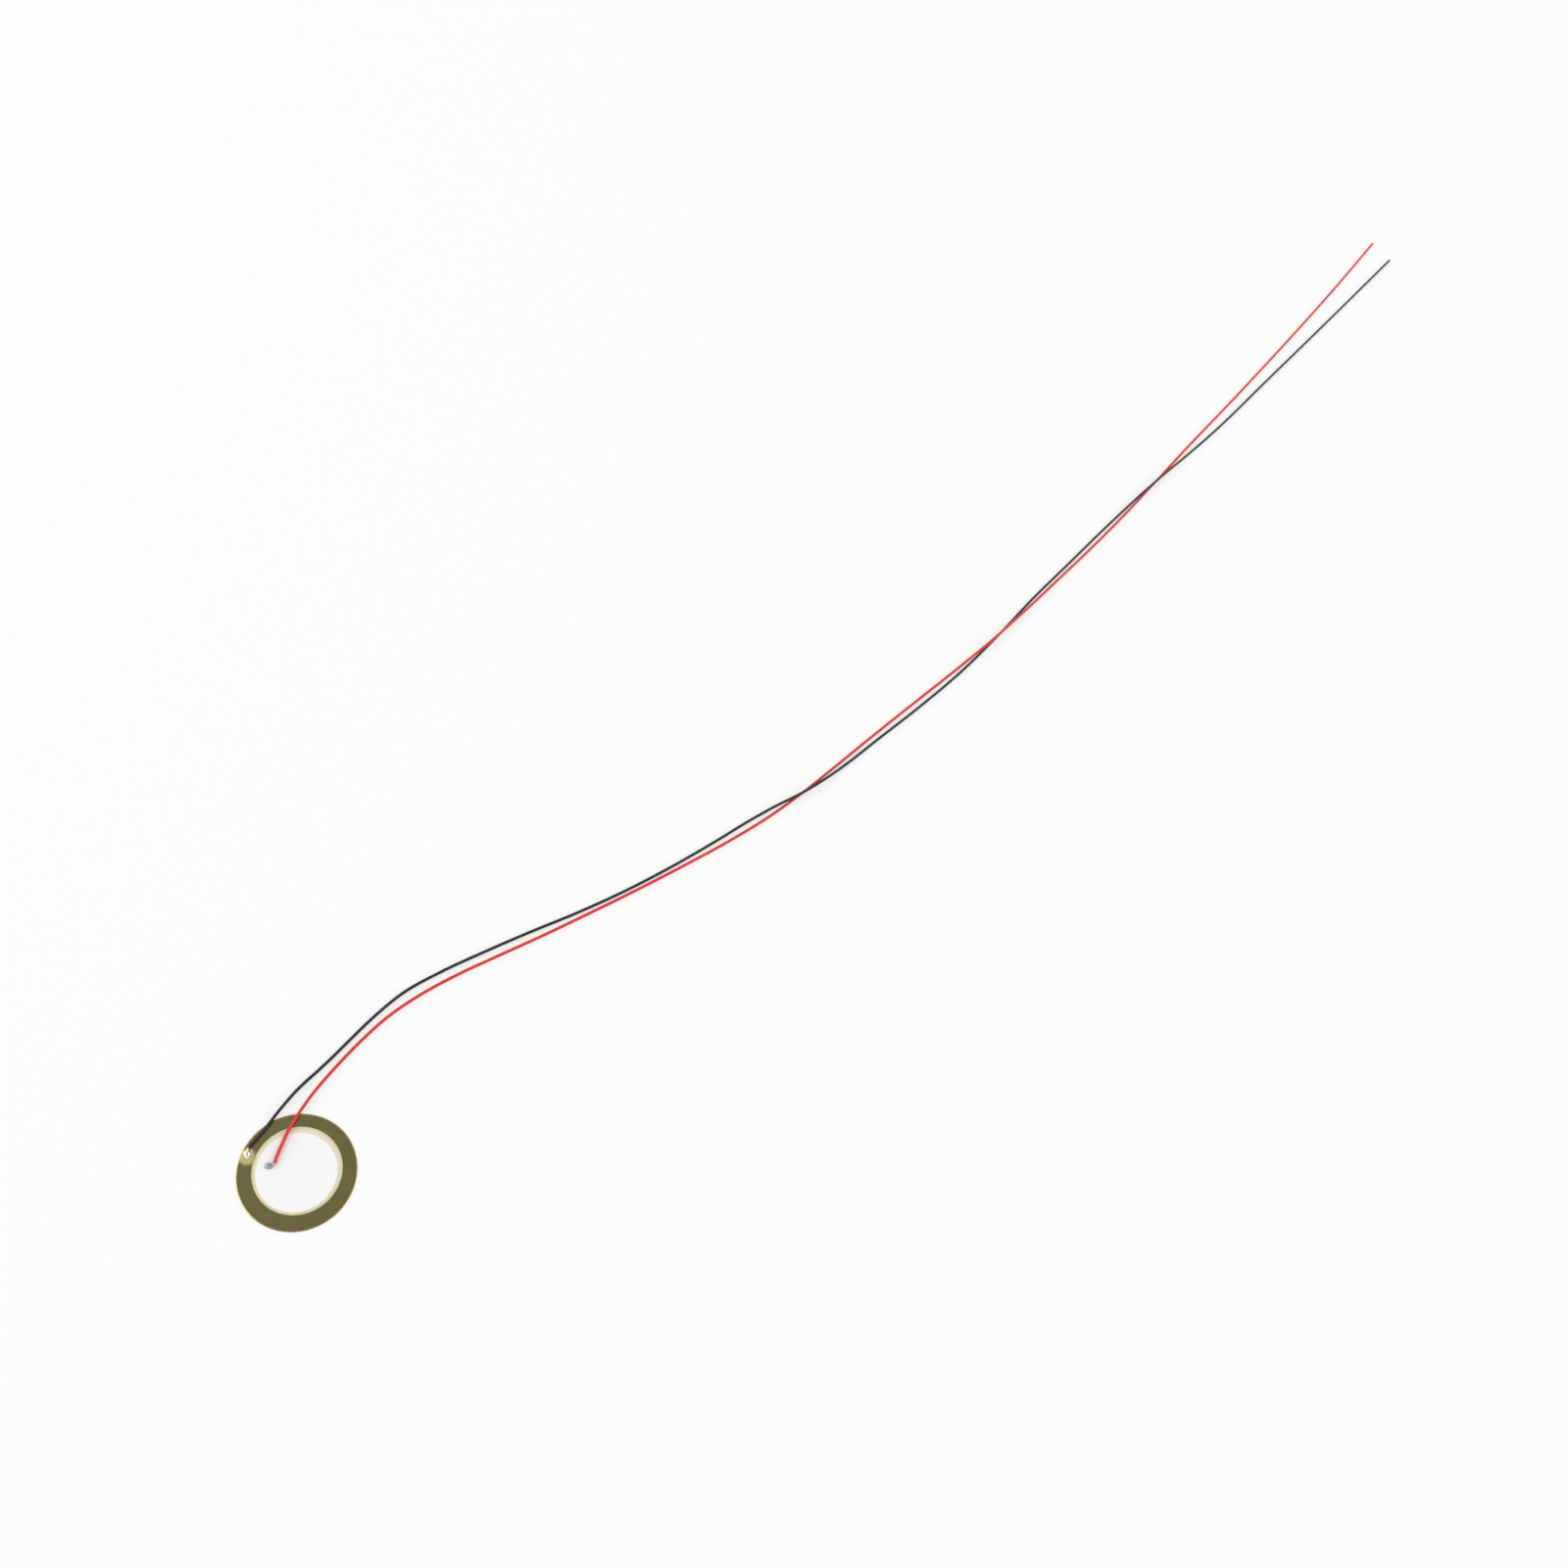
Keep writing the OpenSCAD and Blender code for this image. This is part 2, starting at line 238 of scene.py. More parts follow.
def lead(name, route, node):
    """PVC tube with a cut, slightly rounded face at each end and a bore round the strands."""
    line = smooth_path(route, LEAD_STEP)
    dirs = headings(line)
    lip = [  # distance from the end and radius, from the bore's floor out to the side
        (BORE_DEPTH, BORE_R * 0.98), (CUT_EDGE, BORE_R), (0.0, BORE_R * 1.06),
        (0.0, LEAD_R - CUT_EDGE), (CUT_EDGE * 0.3, LEAD_R - CUT_EDGE * 0.3), (CUT_EDGE, LEAD_R),
    ]
    rings = [ring(line[0] + dirs[0] * x, dirs[0], r, LEAD_SIDES) for x, r in lip]
    rings += [ring(p, d, LEAD_R, LEAD_SIDES) for p, d in zip(line[1:-1], dirs[1:-1])]
    rings += [ring(line[-1] - dirs[-1] * x, dirs[-1], r, LEAD_SIDES) for x, r in reversed(lip)]
    verts, faces = loft(rings)
    return piece(name, verts, faces, node), line, dirs


black_lead, black_line, black_dirs = lead(
    "black_insulation", BLACK_ROUTE, "black_lead")
red_lead, red_line, red_dirs = lead(
    "red_insulation", RED_ROUTE, "red_lead")


# ---------------------------------------------------------------- bare strands
class Bare:
    """The bare end of a lead: the curve from the end of its insulation into its joint."""

    PAST_MIDDLE = 0.25  # where it ends past the joint's middle, as a share of the joint's length
    HANDLE = 0.33  # length of its handles, as a share of the distance between its ends

    def __init__(self, line, dirs, joint):
        self.joint = joint
        start, out = line[0], -dirs[0]
        lie = joint["at"] - start
        lie[2] = 0
        self.lie = unit(lie)
        end = joint["at"] + self.PAST_MIDDLE * joint["size"][0] * self.lie
        end[2] = joint["at"][2] + CHANNEL_R + WICK_T
        reach = np.linalg.norm(end - start) * self.HANDLE
        self.pts = (start, start + out * reach, end - self.lie * reach, end)

    def at(self, u):
        """The point at u, from 0 at the insulation to 1 inside the joint."""
        a, b, c, d = self.pts
        w = 1 - u
        return a * w**3 + 3 * b * w * w * u + 3 * c * w * u * u + d * u**3

    def heading(self, u):
        a, b, c, d = self.pts
        w = 1 - u
        return unit(3 * (b - a) * w * w + 6 * (c - b) * w * u + 3 * (d - c) * u * u)


def strands(name, bare, far_line, far_dirs, node):
    """Seven tinned strands, from inside the insulation into the solder, and their far ends."""
    sides, steps, steps_inside = 12, 44, 6
    lay = 76  # degrees that the strands turn about each other on the way
    loose_until = 0.32  # share of the way on which they stand apart a little
    spread, sway_by = 0.12, 0.05  # how much they do: share of the pitch, and radians round
    verts, faces = [], []

    def add(rings):
        new_verts, new_faces = loft(rings, start=len(verts))
        verts.extend(new_verts)
        faces.extend(new_faces)

    for s in range(STRANDS):
        rings = []
        for i in range(-steps_inside, steps + 1):
            u = max(i, 0) / steps
            p, d = bare.at(u), bare.heading(u)
            if i < 0:
                p = p + d * i * BORE_DEPTH / (steps_inside + 0.5)
            if s:
                loose = math.sin(math.pi * min(u / loose_until, 1))
                turn = math.radians(60 * s + lay * i / steps)
                sway = noise.noise(Vector((s * 3.1, i * 0.09, 1.7))) * sway_by * loose
                r = STRAND_PITCH * (1 + spread * loose * math.sin(s * 2.4))
                p = beside(p, d, r, turn + sway)
            rings.append(ring(p, d, STRAND_R, sides))
        add(rings)
    for s in range(STRANDS):
        p, d = far_line[-1], far_dirs[-1]
        if s:
            p = beside(p, d, STRAND_PITCH, math.radians(60 * s + 15))
        tip = (-1.0 + 0.03 * math.sin(5 * s)) * 0.02 * MM  # cut just short of the insulation
        add([
            ring(p - d * BORE_DEPTH * 0.95, d, STRAND_R, sides),
            ring(p + d * (tip - 0.01 * MM), d, STRAND_R, sides),
            ring(p + d * tip, d, STRAND_R * 0.82, sides),
        ])
    return piece(name, verts, faces, node)


black_bare = Bare(black_line, black_dirs, GROUND)
red_bare = Bare(red_line, red_dirs, SIGNAL)
black_strands = strands("black_strands", black_bare, black_line, black_dirs, "black_conductor")
red_strands = strands("red_strands", red_bare, red_line, red_dirs, "red_conductor")


# ---------------------------------------------------------------- solder
def ease(u):
    """A smooth step from 0 to 1."""
    u = min(max(u, 0), 1)
    return u * u * (3 - 2 * u)


def flank(u):
    """Side and height of a joint's flank, as shares of its half width and height."""
    w = 1 - u
    return (w**3 + 3 * w * w * u * 0.8 + 3 * w * u * u * 0.84,
            3 * w * w * u * 0.02 + 3 * w * u * u + u**3)


def settled(s, reach, size, low, seed, k):
    """Section of k points, side and height, of the settled solder at s along the joint.

    reach is where the joint ends on that side, and low is the least height of the top.
    """
    full = math.sqrt(max(0.004, 1 - (s / reach) ** 2))
    high = max(low, full**1.2 * size[2])
    lean = 1 + 0.06 * math.sin(math.radians(100 * s / reach))
    out = []
    for i in range(k):
        a = 360 * i / k
        across = math.cos(math.radians(a))
        sway = 1 + 0.07 * noise.noise(Vector((seed, 1.9 * s / size[0], across)))
        half = lean * full * size[1] / 2 * sway
        if a <= 180:
            side, height = flank(1 - abs(a / 90 - 1))
            out.append((-half * math.copysign(1, 90 - a) * side, high * height))
        else:  # the underside, sunk a little into the metal
            out.append((-half * across, (0.002 * math.sin(math.radians(a)) - 0.004) * MM))
    return np.array(out)


def solder(name, bare, node, seed):
    """A joint as in the CAD, with more points, a meniscus up the strands and an uneven skin."""
    k, film_rows, rows, tail_rows = 80, 6, 52, 26
    # shares of the strands' way: where the joint begins, the film before it, and its settling
    first, film_span, settle_span = 5 / 19, 0.06, 7 / 19
    joint = bare.joint
    size, origin = joint["size"], joint["at"]
    along = -bare.lie
    aside = np.array([-along[1], along[0], 0])

    def seat(p):
        """Where a point is along, aside of and over the joint's middle."""
        return np.array([(p - origin) @ along, (p - origin) @ aside, p[2] - origin[2]])

    def bed(s, side, section):
        """A section set upright across the joint."""
        return (origin + s * along + (side + section[:, 0])[:, None] * aside
                + section[:, 1][:, None] * np.array([0, 0, 1.0]))

    front, tail = seat(bare.at(first))[0], size[0] / 2
    rings = []
    for i in range(film_rows):  # the thin film where the solder runs out between the strands
        u = first - film_span * (1 - i / film_rows)
        r = CHANNEL_R * (0.72 + 0.36 * math.sin(math.pi / 2 * i / film_rows))
        rings.append(ring(bare.at(u), bare.heading(u), r, k))
    foot = np.clip(1 - np.sin(2 * math.pi * np.arange(k) / k), 0, 1)[:, None]
    for i in range(rows + 1):  # from round the strands to the settled joint, the foot first
        u = first + (1 - first) * i / rows
        settle = ease((u - first) / settle_span)
        r = CHANNEL_R + COLLAR_T * (1 - settle) + WICK_T * settle
        p = bare.at(u)
        s, side, over = seat(p)
        section = settled(s, front if s > 0 else tail, size, over + r, seed, k)
        share = settle ** (1 - 0.8 * foot) if settle > 0 else 0 * foot
        rings.append(ring(p, bare.heading(u), r, k) * (1 - share) + bed(s, side, section) * share)
    back_from = math.asin(seat(bare.at(1))[0] / tail)
    for j in range(1, tail_rows + 1):  # past the strands' ends, down to the tail's tip
        t = j / tail_rows
        s = tail * math.sin(back_from * (1 - t) - math.pi / 2 * 0.995 * t)
        rings.append(bed(s, 0, settled(s, tail, size, 0, seed, k)))
    verts, faces = loft(rings)
    ob = piece(name, verts, faces, node)
    roughen(ob.data, origin[2], seed)
    return ob


def roughen(mesh, bottom, seed):
    """Lumps and fine ripples of frozen solder, which fade towards the metal it wets."""
    lump_t, ripple_t = 0.022, 0.006  # mm
    fade = 0.25 * MM  # height over the metal from which they are whole
    pushes = []
    for v in mesh.vertices:
        lump = noise.fractal(v.co * 1500 + Vector((seed, 0, 0)), 1.0, 2.2, 3)
        ripple = noise.noise(v.co * 5200 + Vector((0, seed, 0)))
        share = min(1.0, max(0.0, (v.co.z - bottom) / fade))
        pushes.append((lump_t * lump + ripple_t * ripple, share))
    for v, (push, share) in zip(mesh.vertices, pushes):  # each normal is of the skin so far
        v.co += v.normal * push * MM * share
    mesh.update()


ground_joint = solder("ground_joint", black_bare, "ground_solder", 4.3)
signal_joint = solder("signal_joint", red_bare, "signal_solder", 11.7)


# ---------------------------------------------------------------- printed silver
def print_edge(a):
    """How far the printed edge strays at the angle a: a few hundredths of a millimetre."""
    v = Vector((math.cos(a) * 9, math.sin(a) * 9, 0.4))
    return 0.022 * noise.fractal(v, 1.0, 2.0, 4) * MM


def printed_silver():
    """The printed layer with a ragged, rounded edge, drawn in so that it stays in its box."""
    n, drawn_in = 360, 0.03 * MM
    edge_r = (PRINT_HIGH.x - PRINT_LOW.x) / 2 - drawn_in
    cx, cy, low = PRINT_AT[0] * MM, PRINT_AT[1] * MM, PRINT_LOW.z
    thick = SILVER_TOP - low
    profile = [  # mm out from the edge, and share of the thickness
        (0.0, 0.0), (0.002, 0.55), (-0.012, 0.93), (-0.03, 1.0), (-0.3, 1.0),
        (-2.5, 1.0), (-5.0, 1.0), (-7.0, 1.0), (-8.4, 1.0),
    ]
    rings = []
    for out, up in profile:
        pts = []
        for i in range(n):
            a = 2 * math.pi * i / n
            r = edge_r + (print_edge(a) if out > -1 else 0) + out * MM
            pts.append((cx + r * math.cos(a), cy + r * math.sin(a), low + up * thick))
        rings.append(np.array(pts))
    verts, faces = loft(rings)
    ob = piece("printed_silver", verts, faces, "front_electrode")
    keep_corner(ob, n)
    return ob


silver = printed_silver()


# ---------------------------------------------------------------- flux residue
FLUX_R = 1.65  # mm
FLUX_FROM_JOINT = (-0.46, -0.4)  # mm
FLUX_T = 0.03  # mm
FLUX_TO_RIM = 13.15  # mm from the plate's middle
FLUX_TO_CERAMIC = 10.3  # mm from the ceramic's middle


def room(at, d, middle_at, r):
    """Distance from at along d to the circle of radius r round middle_at, or inf."""
    away = at - np.array(middle_at)
    b, q = away @ d, away @ away - r * r
    if b * b < q or (q > 0 and b > 0):
        return math.inf
    return -b - math.sqrt(b * b - q) if q > 0 else -b + math.sqrt(b * b - q)


def flux_pool():
    """A thin film of resin that ran out of the joint and set, short of the brass's edges."""
    n, rows = 96, 12
    c = GROUND["at"][:2] / MM + np.array(FLUX_FROM_JOINT)
    edge = []
    for i in range(n):
        a = 2 * math.pi * i / n
        d = np.array([math.cos(a), math.sin(a)])
        stray = noise.fractal(Vector((d[0] * 1.3, d[1] * 1.3, 2.0)), 1.0, 2.0, 3)
        edge.append(d * min(
            FLUX_R * (1 + 0.16 * stray),
            room(c, d, (0, 0), FLUX_TO_RIM + 0.1 * stray),
            room(c, d, CERAMIC_AT, FLUX_TO_CERAMIC + 0.1 * stray),
        ))
    edge = np.array(edge)

    def level(t, z):
        """The edge drawn in to the share t, z mm over the plate."""
        return np.column_stack((c + t * edge, np.full(n, PLATE_TOP / MM + z))) * MM

    rings = [level(1, 0.0005)]
    for i in range(rows, 0, -1):
        t = i / rows
        rings.append(level(t, FLUX_T * (1 - t * t) ** 2 + 0.001))
    verts, faces = loft(rings)
    ob = piece("ground_flux", verts, faces)
    keep_corner(ob, n)
    return ob


flux = flux_pool()


# ---------------------------------------------------------------- materials
def set_stops(color_ramp, stops):
    """Sets a new ramp to stops of (position, colour)."""
    e = color_ramp.elements
    while len(e) < len(stops):
        e.new(0.5)
    for el, (pos, colour) in zip(e, stops):
        el.position = pos
        el.color = (*colour, 1)


class Nodes:
    """A short way to build a node material on the shader's own sockets."""

    def __init__(self, name, base, rough, metallic=0.0, **sockets):
        self.m = bpy.data.materials.new(name)
        self.m.use_nodes = True
        self.t = self.m.node_tree
        self.shader = self.t.nodes["Principled BSDF"]
        self.m.diffuse_color = (*base, 1)
        self.shader.inputs["Base Color"].default_value = (*base, 1)
        self.shader.inputs["Roughness"].default_value = rough
        self.shader.inputs["Metallic"].default_value = metallic
        for key, value in sockets.items():
            self.shader.inputs[key.replace("_", " ")].default_value = value
        self.place = self.t.nodes.new("ShaderNodeTexCoord").outputs["Object"]

    def link(self, a, b):
        self.t.links.new(a, b)

    def feed(self, value, socket):
        """Links an output to the socket, or sets the socket to a colour or a number."""
        if hasattr(value, "is_linked"):
            self.link(value, socket)
        elif hasattr(value, "__len__"):
            socket.default_value = (*value, 1)
        else:
            socket.default_value = value

    def node(self, kind, **values):
        n = self.t.nodes.new(kind)
        for key, value in values.items():
            setattr(n, key, value)
        return n

    def noise(self, size_mm, detail=4.0, rough=0.55, stretch=(1, 1, 1), turn=0.0, warp=0.0):
        """Noise with features of about size_mm; stretch makes them longer along x, y and z."""
        mapping = self.node("ShaderNodeMapping")
        mapping.inputs["Scale"].default_value = [1 / s for s in stretch]
        mapping.inputs["Rotation"].default_value = (0, 0, turn)
        self.link(self.place, mapping.inputs["Vector"])
        n = self.node("ShaderNodeTexNoise")
        n.inputs["Scale"].default_value = 1 / (size_mm * MM)
        n.inputs["Detail"].default_value = detail
        n.inputs["Roughness"].default_value = rough
        n.inputs["Distortion"].default_value = warp
        self.link(mapping.outputs[0], n.inputs["Vector"])
        return n.outputs["Fac"]

    def ramp(self, fac, stops):
        n = self.node("ShaderNodeValToRGB")
        set_stops(n.color_ramp, stops)
        self.link(fac, n.inputs["Fac"])
        return n.outputs["Color"]

    def mix(self, fac, a, b):
        n = self.node("ShaderNodeMix", data_type="RGBA")
        for value, socket in ((fac, n.inputs[0]), (a, n.inputs[6]), (b, n.inputs[7])):
            self.feed(value, socket)
        return n.outputs[2]

    def math(self, op, a, b):
        n = self.node("ShaderNodeMath", operation=op)
        self.feed(a, n.inputs[0])
        self.feed(b, n.inputs[1])
        return n.outputs[0]

    def span(self, value, lo, hi, a=0.0, b=1.0):
        """Goes from a to b as the value goes from lo to hi."""
        n = self.node("ShaderNodeMapRange", clamp=True)
        for v, key in ((lo, "From Min"), (hi, "From Max"), (a, "To Min"), (b, "To Max")):
            n.inputs[key].default_value = v
        self.link(value, n.inputs["Value"])
        return n.outputs["Result"]

    def far(self, x, y, unit_mm=1.0):
        """Distance from an upright axis at x, y in mm, in units of unit_mm."""
        shift = self.node("ShaderNodeVectorMath", operation="SUBTRACT")
        self.link(self.place, shift.inputs[0])
        shift.inputs[1].default_value = (x * MM, y * MM, 0)
        scale = self.node("ShaderNodeVectorMath", operation="MULTIPLY")
        self.link(shift.outputs[0], scale.inputs[0])
        scale.inputs[1].default_value = (1000 / unit_mm, 1000 / unit_mm, 0)
        size = self.node("ShaderNodeVectorMath", operation="LENGTH")
        self.link(scale.outputs[0], size.inputs[0])
        return size.outputs["Value"]

    def height(self):
        n = self.node("ShaderNodeSeparateXYZ")
        self.link(self.place, n.inputs[0])
        return n.outputs["Z"]

    def base(self, socket):
        self.link(socket, self.shader.inputs["Base Color"])

    def rough(self, socket):
        self.link(socket, self.shader.inputs["Roughness"])

    def metallic(self, socket):
        self.link(socket, self.shader.inputs["Metallic"])

    def bump(self, *layers):
        """Layers of (height 0 to 1, depth in mm)."""
        normal = None
        for value, depth in layers:
            b = self.node("ShaderNodeBump")
            b.inputs["Strength"].default_value = 1.0
            b.inputs["Distance"].default_value = depth * MM
            self.link(value, b.inputs["Height"])
            if normal is not None:
                self.link(normal, b.inputs["Normal"])
            normal = b.outputs["Normal"]
        self.link(normal, self.shader.inputs["Normal"])


GOLD_AT = (-5.95, 10.15)  # mm
GOLD_R = 1.7  # mm


def brass():
    """Rolled brass whose olive base is partly painted shade, with a painted rim highlight and a
    gold patch under the flux.
    """
    # Partly the metal's own tone, partly painted shade: the olive base is darker than brass,
    # standing for the dark ceiling the sheet mirrors.
    n = Nodes("rolled_brass", (0.34, 0.30, 0.12), 0.26, 1.0)
    roll_turn = 0.35
    cloud = n.noise(3.2, 5, 0.6, warp=0.4)
    fine = n.noise(0.35, 4, 0.6)
    roll = n.noise(0.045, 3, 0.7, stretch=(60, 1, 1), turn=roll_turn)
    streak = n.noise(0.4, 3, 0.6, stretch=(16, 1, 1), turn=roll_turn)
    tone = n.ramp(cloud, [
        (0.35, (0.31, 0.305, 0.115)),
        (0.5, (0.335, 0.30, 0.12)),
        (0.65, (0.35, 0.29, 0.13)),
    ])
    tone = n.mix(n.span(fine, 0.35, 0.75, 0.0, 0.35), tone, (0.285, 0.26, 0.095))
    tone = n.mix(n.span(streak, 0.4, 0.7, 0.0, 0.3), tone, (0.375, 0.335, 0.14))
    ragged = n.math("MULTIPLY", n.noise(1.1, 4, 0.6), 0.5)
    gold = n.span(n.math("ADD", n.far(*GOLD_AT, GOLD_R), ragged), 0.7, 1.5, 1.0, 0.0)
    upper_side = n.span(n.height(), 0.1 * MM, 0.2 * MM)
    gold = n.math("MULTIPLY", gold, upper_side)
    tone = n.mix(n.math("MULTIPLY", gold, 0.95), tone, (0.86, 0.77, 0.31))
    # A paler band round the edge: a painted highlight on the rolled rim.
    rim_highlight = n.span(n.far(0, 0), 13.1, 13.3)
    n.base(n.mix(n.math("MULTIPLY", rim_highlight, 0.7), tone, (0.74, 0.66, 0.32)))
    rough = n.math("ADD", n.span(cloud, 0.3, 0.7, 0.14, 0.22), n.span(roll, 0.3, 0.7, -0.02, 0.04))
    n.rough(n.math("ADD", rough, n.math("MULTIPLY", gold, 0.3)))
    n.metallic(n.math("SUBTRACT", 1.0, n.math("MULTIPLY", gold, 0.7)))
    n.bump((roll, 0.0012), (n.noise(1.8, 2, 0.5), 0.003))
    return n.m


def epoxy():
    n = Nodes("epoxy", (0.60, 0.54, 0.30), 0.22, 0.0, Coat_Weight=0.4)
    n.base(n.ramp(n.noise(1.2, 4, 0.6), [(0.3, (0.52, 0.46, 0.24)), (0.7, (0.70, 0.64, 0.40))]))
    n.bump((n.noise(0.2, 3, 0.5), 0.01))
    return n.m


def ceramic():
    """Cream ceramic, yellower towards its edge, with fine specks."""
    n = Nodes("piezoceramic", (0.80, 0.76, 0.56), 0.6)
    cloud = n.noise(2.4, 4, 0.6)
    speck = n.noise(0.07, 3, 0.7)
    tone = n.ramp(cloud, [(0.3, (0.76, 0.73, 0.56)), (0.7, (0.82, 0.80, 0.65))])
    edge = n.span(n.far(*CERAMIC_AT), 9.25, 9.9)
    tone = n.mix(edge, tone, (0.68, 0.62, 0.36))
    n.base(n.mix(n.span(speck, 0.58, 0.75, 0.0, 0.3), tone, (0.62, 0.57, 0.40)))
    n.rough(n.span(speck, 0.3, 0.7, 0.5, 0.7))
    n.bump((speck, 0.004))
    return n.m


def silver_print():
    """White fired silver with the weave of the printing screen in it."""
    n = Nodes("fired_silver", (0.93, 0.93, 0.915), 0.52)
    pitch, screen_turn = 0.14 * MM, 0.38
    bands_per_unit = 3.18  # of Blender's wave texture at scale 1
    weave = []
    for turn in (screen_turn, screen_turn + math.pi / 2):
        wave = n.node("ShaderNodeTexWave", wave_type="BANDS", bands_direction="X",
                      wave_profile="SIN")
        mapping = n.node("ShaderNodeMapping")
        mapping.inputs["Rotation"].default_value = (0, 0, turn)
        n.link(n.place, mapping.inputs["Vector"])
        n.link(mapping.outputs[0], wave.inputs["Vector"])
        wave.inputs["Scale"].default_value = 1 / pitch / bands_per_unit
        wave.inputs["Distortion"].default_value = 0.4
        weave.append(wave.outputs["Fac"])
    screen = n.math("MULTIPLY", *weave)
    cloud = n.noise(2.6, 5, 0.6)
    grit = n.noise(0.05, 3, 0.7)
    tone = n.ramp(cloud, [(0.3, (0.94, 0.94, 0.93)), (0.7, (0.97, 0.97, 0.96))])
    tone = n.mix(n.span(grit, 0.6, 0.8, 0.0, 0.3), tone, (0.82, 0.82, 0.80))
    edge = n.span(n.far(*PRINT_AT), 8.75, 9.1)
    n.base(n.mix(n.math("MULTIPLY", edge, 0.35), tone, (0.90, 0.885, 0.80)))
    n.rough(n.span(cloud, 0.3, 0.7, 0.45, 0.6))
    n.bump((screen, 0.0025), (grit, 0.0015))
    return n.m


def rear_silver():
    n = Nodes("rear_silver", (0.86, 0.86, 0.83), 0.5)
    n.base(n.ramp(n.noise(0.8, 4), [(0.3, (0.80, 0.80, 0.76)), (0.7, (0.90, 0.90, 0.87))]))
    return n.m


def solder_metal(name, tint, smooth, dull):
    """Frozen solder in patches, from its smooth roughness to its dull one."""
    n = Nodes(name, tint, smooth, 1.0)
    cloud = n.noise(0.6, 4, 0.6)
    fine = n.noise(0.06, 4, 0.7)
    darker = tuple(0.72 * c for c in tint)
    n.base(n.mix(n.span(cloud, 0.45, 0.7, 0.0, 0.6), tint, darker))
    n.rough(n.span(cloud, 0.35, 0.7, smooth, dull))
    n.bump((cloud, 0.02), (fine, 0.0016))
    return n.m


def tinned(name, bright):
    """Tinned copper, a little of which shows through; a bright below 1 darkens it as painted
    shade.
    """
    n = Nodes(name, tuple(bright * c for c in (0.80, 0.77, 0.72)), 0.26, 1.0)
    patch = n.noise(0.3, 4, 0.6)
    stops = [(0.42, (0.80, 0.78, 0.74)), (0.62, (0.76, 0.71, 0.63)), (0.75, (0.74, 0.56, 0.42))]
    n.base(n.ramp(patch, [(at, tuple(bright * c for c in tone)) for at, tone in stops]))
    n.rough(n.span(patch, 0.3, 0.7, 0.2, 0.36))
    n.bump((n.noise(0.03, 3), 0.001))
    return n.m


def resin():
    """Set flux, amber and partly cloudy."""
    n = Nodes("flux_resin", (0.96, 0.91, 0.70), 0.06, 0.0, Transmission_Weight=0.58, IOR=1.5)
    n.base(n.ramp(n.noise(0.7, 4, 0.6), [(0.3, (0.97, 0.92, 0.48)), (0.7, (0.95, 0.87, 0.40))]))
    n.bump((n.noise(0.4, 3), 0.006))
    return n.m


def pvc(name, base, low, high):
    """Soft PVC with faint lines along the wire and a slow change of tone."""
    n = Nodes(name, base, 0.33, 0.0, Specular_IOR_Level=0.5)
    cloud = n.noise(6, 4, 0.6)
    fine = n.noise(0.12, 3, 0.6)
    line = n.noise(0.05, 3, 0.6, stretch=(80, 8, 1))
    tone = n.ramp(cloud, [(0.3, low), (0.5, base), (0.7, high)])
    scuff = tuple(min(1, 1.35 * c + 0.01) for c in base)
    n.base(n.mix(n.span(fine, 0.55, 0.8, 0.0, 0.18), tone, scuff))
    n.rough(n.math("ADD", n.span(cloud, 0.3, 0.7, 0.2, 0.28), n.span(fine, 0.4, 0.8, 0.0, 0.06)))
    n.bump((line, 0.0022), (n.noise(0.9, 3, 0.5), 0.012))
    return n.m


def dress(ob, mat):
    ob.data.materials.clear()
    ob.data.materials.append(mat)


dress(nodes["brass_plate"], brass())
dress(nodes["bond_layer"], epoxy())
dress(nodes["rear_electrode"], rear_silver())
dress(nodes["ceramic_disc"], ceramic())
dress(silver, silver_print())
dress(ground_joint, solder_metal("solder_ground", (0.92, 0.86, 0.68), 0.10, 0.22))
# The signal joint's solder is a darker copy of the same metal: painted shade, standing for the
# dark ceiling it mirrors.
dress(signal_joint, solder_metal("solder_signal", (0.44, 0.43, 0.43), 0.16, 0.34))
dress(black_strands, tinned("tinned_black", 1.0))
# The red lead's strands at 0.75: painted shade, darkened like the signal joint they run into.
dress(red_strands, tinned("tinned_red", 0.75))
dress(flux, resin())
dress(red_lead, pvc(
    "red_pvc", base=(0.70, 0.025, 0.021), low=(0.62, 0.02, 0.018), high=(0.78, 0.033, 0.027)))
dress(black_lead, pvc(
    "black_pvc", base=(0.011, 0.011, 0.012), low=(0.009, 0.009, 0.0095),
    high=(0.016, 0.016, 0.0175)))


# ---------------------------------------------------------------- stage and light
FLOOR_HALF = 4.0
FLOOR_Z = -0.02 * MM  # clear of the plate's underside, so that the two don't share a plane


